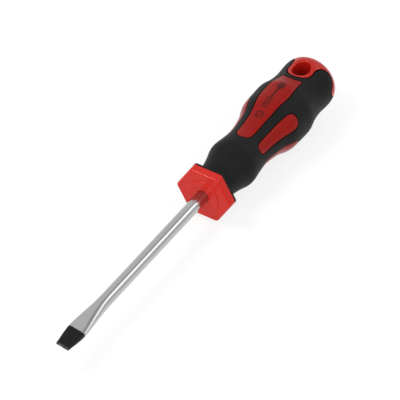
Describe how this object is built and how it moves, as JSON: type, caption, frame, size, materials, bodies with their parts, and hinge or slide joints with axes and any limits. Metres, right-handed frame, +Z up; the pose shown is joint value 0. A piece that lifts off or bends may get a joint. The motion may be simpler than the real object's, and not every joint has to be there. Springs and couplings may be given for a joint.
{
  "type": "slotted screwdriver",
  "caption": "Slotted screwdriver: round chromed shank, flared blackened tip, hexagonal anti-roll guard, soft sleeve with hard inlays, and a hard butt with a hang hole.",
  "frame": {"origin": "bottom centre of the tool's bounding box, on the surface that it lies on", "axes": "+X along the tool from the blade's tip to the butt, +Z up out of the top inlay and along the hang hole, +Y across"},
  "size_m": [0.2228, 0.032, 0.0321],
  "materials": {
    "chromed_steel": "bright chrome plate, with the flattened tip blackened over its last 12 mm",
    "core_plastic": "hidden hard core",
    "red_plastic": "gloss moulded",
    "dark_red_plastic": "gloss moulded",
    "black_elastomer": "fine matt, soft touch"
  },
  "bodies": {
    "root": {"blade": "chromed_steel", "handle_core": "core_plastic", "hex_guard": "red_plastic", "soft_grip": "black_elastomer", "long_inlay_top": "dark_red_plastic", "long_inlay_bottom": "dark_red_plastic", "side_inlay_front_upper": "dark_red_plastic", "side_inlay_front_lower": "dark_red_plastic", "side_inlay_back_upper": "dark_red_plastic", "side_inlay_back_lower": "dark_red_plastic", "butt_cap": "red_plastic"}
  },
  "joints": []
}
